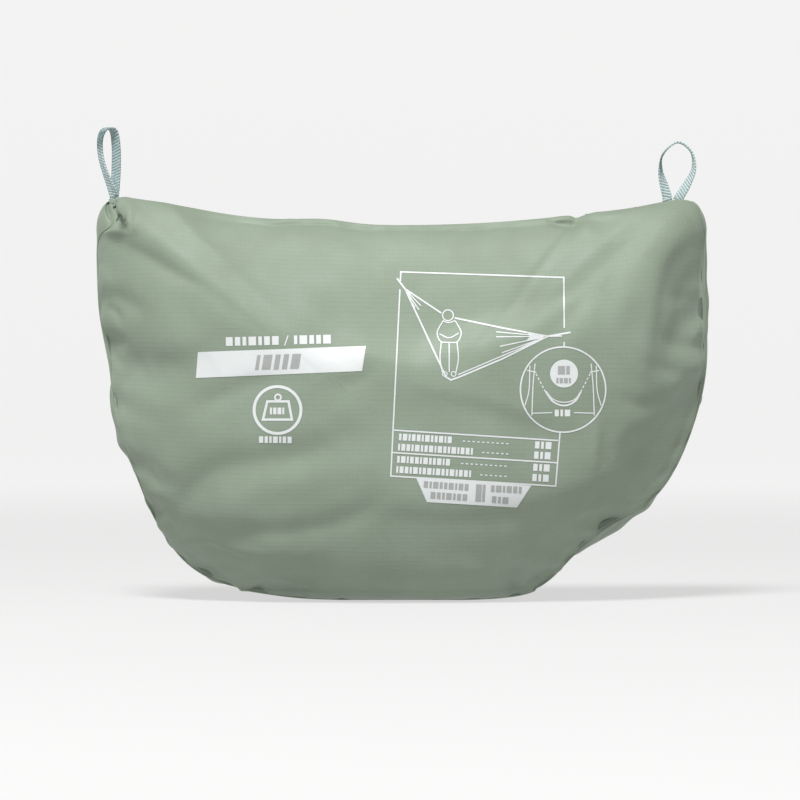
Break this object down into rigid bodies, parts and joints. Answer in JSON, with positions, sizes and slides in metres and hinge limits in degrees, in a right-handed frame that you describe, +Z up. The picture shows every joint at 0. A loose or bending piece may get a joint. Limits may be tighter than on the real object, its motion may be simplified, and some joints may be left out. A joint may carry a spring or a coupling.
{
  "type": "packed camping hammock",
  "caption": "Camping hammock packed in its own half-moon ripstop pouch, with a zip along the dipped top and a webbing loop in each top corner.",
  "frame": {"origin": "middle of the pouch's flattened bottom", "axes": "+X along the pouch's width to the closed end of the zip, front panel facing -Y, +Z up"},
  "size_m": [0.305, 0.088, 0.237],
  "materials": {
    "ripstop": "satin",
    "zip_tape": "matte",
    "zip_coil": "satin",
    "zip_metal": "satin",
    "webbing": "matte",
    "cord": "matte",
    "rope": "matte",
    "aluminium": "satin",
    "steel": "polished"
  },
  "bodies": {
    "pouch": {"front_panel": "ripstop", "back_panel": "ripstop", "seam_binding": "zip_tape", "zip_tape_front": "zip_tape", "zip_tape_back": "zip_tape", "zip_coil_front": "zip_coil", "zip_coil_back": "zip_coil", "zip_top_stop_front": "zip_metal", "zip_top_stop_back": "zip_metal", "zip_bottom_stop": "zip_metal", "hammock_bed": "ripstop", "gather_cord_left": "cord", "gather_cord_right": "cord", "carabiner_left": "aluminium", "carabiner_right": "aluminium", "gate_pin_left": "steel", "gate_pin_right": "steel", "tree_rope_left": "rope", "tree_rope_right": "rope", "rope_tie_left": "cord", "rope_tie_right": "cord"},
    "zip_slider": {"zip_slider": "zip_metal"},
    "zip_pull": {"zip_pull": "zip_metal"},
    "left_loop": {"left_loop": "webbing"},
    "right_loop": {"right_loop": "webbing"},
    "left_gate": {"gate_left": "aluminium"},
    "right_gate": {"gate_right": "aluminium"}
  },
  "joints": [
    {"name": "zip_travel", "type": "hinge", "parent": "pouch", "child": "zip_slider", "pos_m": [0, 0, 0.91539], "axis": [0, 1, 0], "range_deg": [0, 15]},
    {"name": "pull_flip", "type": "hinge", "parent": "zip_slider", "child": "zip_pull", "pos_m": [0.09539, 0, 0.19105], "axis": [0, 1, 0], "range_deg": [0, 150]},
    {"name": "left_loop_tip", "type": "hinge", "parent": "pouch", "child": "left_loop", "pos_m": [-0.141, 0, 0.2009], "axis": [1, 0, 0], "range_deg": [-60, 60], "stiffness_Nm_per_rad": 0.004},
    {"name": "right_loop_tip", "type": "hinge", "parent": "pouch", "child": "right_loop", "pos_m": [0.1355, 0, 0.2008], "axis": [1, 0, 0], "range_deg": [-60, 60], "stiffness_Nm_per_rad": 0.004},
    {"name": "left_gate_open", "type": "hinge", "parent": "pouch", "child": "left_gate", "pos_m": [-0.077, 0.018, 0.159], "axis": [0, 1, 0], "range_deg": [0, 25], "stiffness_Nm_per_rad": 0.2, "springref_deg": -11.46},
    {"name": "right_gate_open", "type": "hinge", "parent": "pouch", "child": "right_gate", "pos_m": [0.077, 0.018, 0.159], "axis": [0, -1, 0], "range_deg": [0, 25], "stiffness_Nm_per_rad": 0.2, "springref_deg": -11.46}
  ]
}
